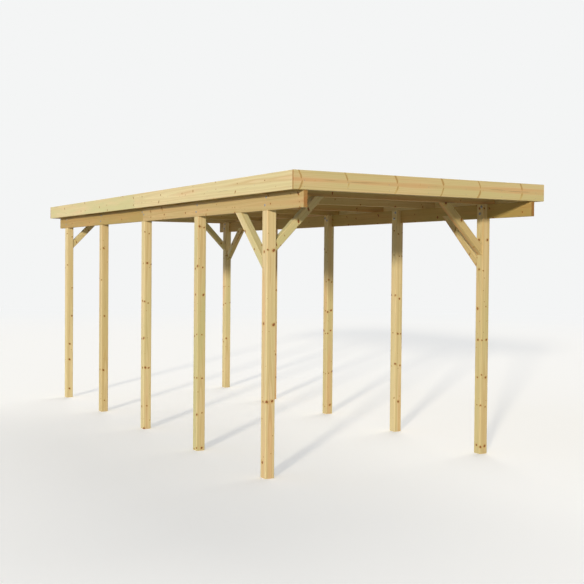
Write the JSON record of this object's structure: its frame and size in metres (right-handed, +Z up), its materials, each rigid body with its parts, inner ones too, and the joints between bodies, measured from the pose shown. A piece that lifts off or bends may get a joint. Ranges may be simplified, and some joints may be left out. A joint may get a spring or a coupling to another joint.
{
  "type": "timber carport",
  "caption": "Flat-roofed open carport of treated softwood: rows of posts, notched purlins, head braces, rafters, ribbed roof sheets and a fascia all round.",
  "frame": {"origin": "at ground level, under the middle of the roof", "axes": "+Z up, +Y from the entrance to the rear, +X to the right seen from the entrance"},
  "size_m": [3.5, 8.35, 3.35],
  "materials": {
    "post_timber": "planed, treated",
    "purlin_timber": "planed, treated",
    "brace_timber": "planed, treated",
    "rafter_timber": "planed, treated",
    "fascia_board": "planed, treated",
    "roof_sheet": "mill finish"
  },
  "bodies": {
    "root": {"brace_front_left_crosswise": "brace_timber", "brace_front_left_lengthwise": "brace_timber", "brace_front_right_crosswise": "brace_timber", "brace_front_right_lengthwise": "brace_timber", "brace_rear_left_crosswise": "brace_timber", "brace_rear_right_crosswise": "brace_timber", "brace_rear_right_lengthwise": "brace_timber", "fascia_front": "fascia_board", "fascia_left_front": "fascia_board", "fascia_left_rear": "fascia_board", "fascia_rear": "fascia_board", "fascia_right_front": "fascia_board", "fascia_right_rear": "fascia_board", "post_left_1": "post_timber", "post_left_2": "post_timber", "post_left_3": "post_timber", "post_left_4": "post_timber", "post_left_5": "post_timber", "post_right_1": "post_timber", "post_right_2": "post_timber", "post_right_3": "post_timber", "post_right_4": "post_timber", "post_right_5": "post_timber", "purlin_left_front": "purlin_timber", "purlin_left_rear": "purlin_timber", "purlin_right_front": "purlin_timber", "purlin_right_rear": "purlin_timber", "rafter_1": "rafter_timber", "rafter_2": "rafter_timber", "rafter_3": "rafter_timber", "rafter_4": "rafter_timber", "rafter_5": "rafter_timber", "rafter_6": "rafter_timber", "rafter_7": "rafter_timber", "rafter_front_edge": "rafter_timber", "rafter_rear_edge": "rafter_timber", "roof_sheet_1": "roof_sheet", "roof_sheet_2": "roof_sheet", "roof_sheet_3": "roof_sheet", "roof_sheet_4": "roof_sheet"}
  },
  "joints": []
}
